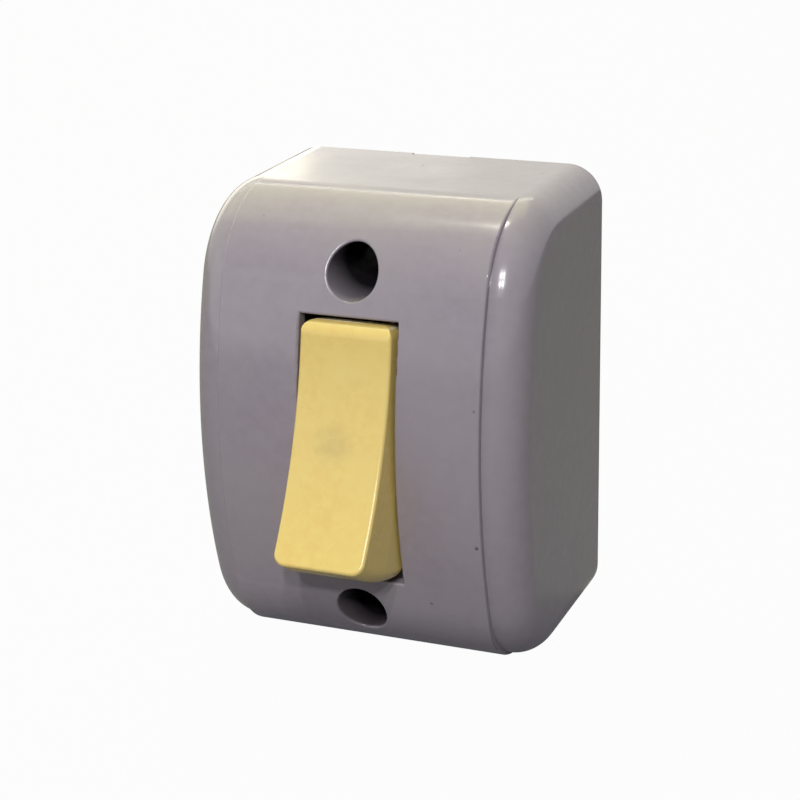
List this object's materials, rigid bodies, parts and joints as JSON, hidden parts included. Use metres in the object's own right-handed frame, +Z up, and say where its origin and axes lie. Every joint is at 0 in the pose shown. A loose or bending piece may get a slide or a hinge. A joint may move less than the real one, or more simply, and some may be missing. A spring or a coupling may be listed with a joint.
{
  "type": "surface mounted light switch",
  "caption": "Surface mounted rocker light switch: a deep rounded plastic housing with screw holes above and below the rocker, and its change-over contacts inside.",
  "frame": {"origin": "middle of the back, in the wall's plane", "axes": "X across, +Y back into the wall, +Z up"},
  "size_m": [0.05, 0.0502, 0.0684],
  "materials": {
    "housing_plastic": "glossy moulded lilac grey",
    "rocker_plastic": "glossy moulded straw yellow, a little worn",
    "base_plastic": "dark moulded phenolic",
    "brass": "stamped strip",
    "plated_steel": "zinc plated",
    "steel": "ground pin",
    "spring_steel": "drawn wire",
    "contact_silver": "satin silver alloy"
  },
  "bodies": {
    "case": {"housing": "housing_plastic", "mechanism_base": "base_plastic", "rocker_pin": "steel", "common_terminal": "brass", "upper_terminal": "brass", "lower_terminal": "brass", "common_clamp": "plated_steel", "upper_clamp": "plated_steel", "lower_clamp": "plated_steel", "common_screw": "plated_steel", "upper_screw": "plated_steel", "lower_screw": "plated_steel", "mechanism_screw_right": "plated_steel", "mechanism_screw_left": "plated_steel", "fixed_rivet_upper": "contact_silver", "fixed_rivet_lower": "contact_silver"},
    "rocker": {"rocker": "rocker_plastic", "rocker_spring": "spring_steel"},
    "contact_bar": {"contact_bar": "brass", "contact_rivet_upper": "contact_silver", "contact_rivet_lower": "contact_silver"}
  },
  "joints": [
    {"name": "rocker_tilt", "type": "hinge", "parent": "case", "child": "rocker", "pos_m": [0, -0.0362, 0], "axis": [1, 0, 0], "range_deg": [0, 43.2], "deforming": ["rocker_spring"]},
    {"name": "bar_tip", "type": "hinge", "parent": "case", "child": "contact_bar", "pos_m": [0, -0.0205, 0], "axis": [1, 0, 0], "range_deg": [0, 19]}
  ],
  "couplings": [
    {"joint": "bar_tip", "follows": "rocker_tilt", "ratio": 0.4398}
  ]
}
